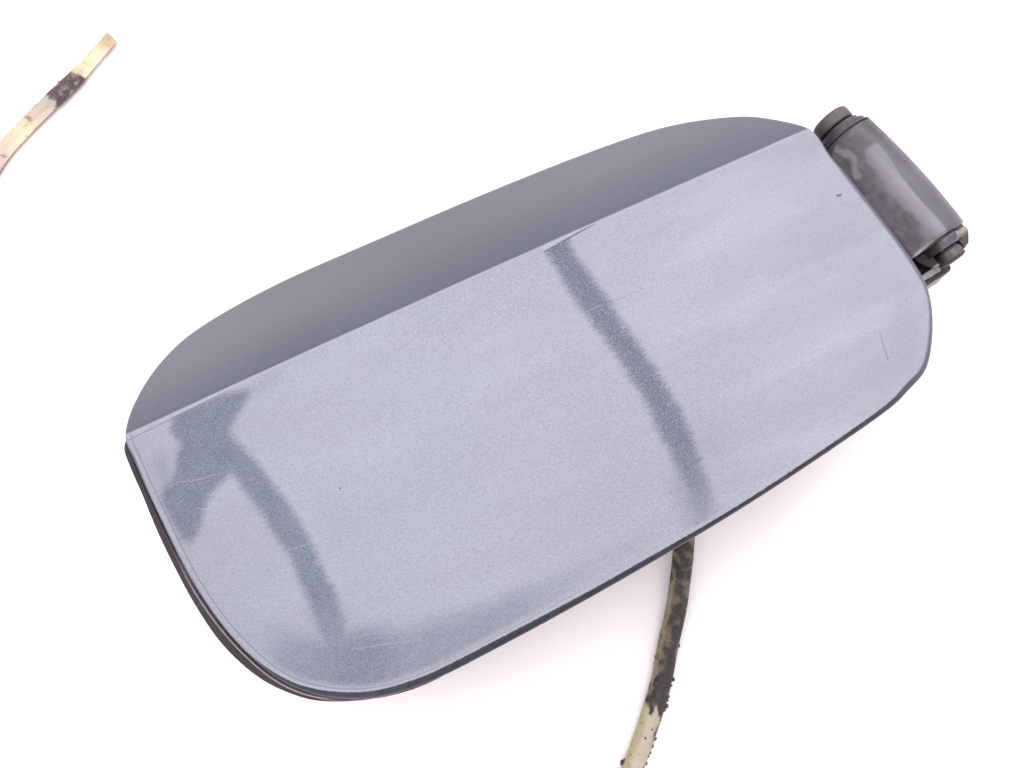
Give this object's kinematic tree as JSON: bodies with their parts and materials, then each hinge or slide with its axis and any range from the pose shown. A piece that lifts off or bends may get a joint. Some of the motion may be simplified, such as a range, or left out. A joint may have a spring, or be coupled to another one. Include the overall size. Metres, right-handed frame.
{
  "type": "fuel filler flap",
  "caption": "Creased painted lid on a gooseneck hinge, closed on its moulded filler housing with rim seal, push latch and a beige rubber drain hose.",
  "frame": {"origin": "middle of the filler neck opening, at the housing's rear plane", "axes": "+Z is the lid's outside, +X runs along the lid's crease towards the hinge, +Y towards the narrow sloping face"},
  "size_m": [0.3986, 0.367, 0.062],
  "materials": {
    "lid_paint": "dusty silver paint, wiped in places",
    "inner_panel": "matt black moulding",
    "hinge_paint": "satin grey-brown, dirty",
    "housing": "satin dark brown moulding, dirty",
    "seal_rubber": "matt black rubber",
    "black_rubber": "matt black rubber",
    "steel": "zinc-plated, dull",
    "pin_steel": "dull grey, dusty",
    "latch_black": "fine matt moulding",
    "latch_white": "plain natural moulding",
    "bush_nylon": "plain natural moulding",
    "hose_rubber": "yellowed and grimy beige rubber"
  },
  "bodies": {
    "housing": {"filler_bowl": "housing", "neck_collar": "housing", "rim_seal": "seal_rubber", "neck_gaiter": "black_rubber", "gaiter_ring": "steel", "hinge_pin": "pin_steel", "hinge_spring": "steel", "latch_housing": "latch_black", "latch_nut": "latch_black", "latch_spring": "steel", "drain_hose": "hose_rubber", "hose_clip": "steel"},
    "lid": {"lid_skin": "lid_paint", "lid_carrier": "inner_panel", "hinge_arm": "hinge_paint", "arm_screws": "steel", "lid_buffers": "black_rubber", "latch_striker": "steel", "striker_screws": "steel", "cap_holder": "inner_panel", "pin_bushes": "bush_nylon"},
    "plunger": {"latch_plunger": "latch_white"}
  },
  "joints": [
    {"name": "lid_hinge", "type": "hinge", "parent": "housing", "child": "lid", "pos_m": [0.1242, 0.0135, 0.049], "axis": [-0.2028, 0.9792, 0], "range_deg": [0, 90]},
    {"name": "latch_slide", "type": "slide", "parent": "housing", "child": "plunger", "axis": [0, 0, 1], "range_m": [0, 0.0071], "deforming": ["latch_spring"]}
  ],
  "couplings": [
    {"joint": "latch_slide", "follows": "lid_hinge", "m_per_rad": 0.0045}
  ]
}
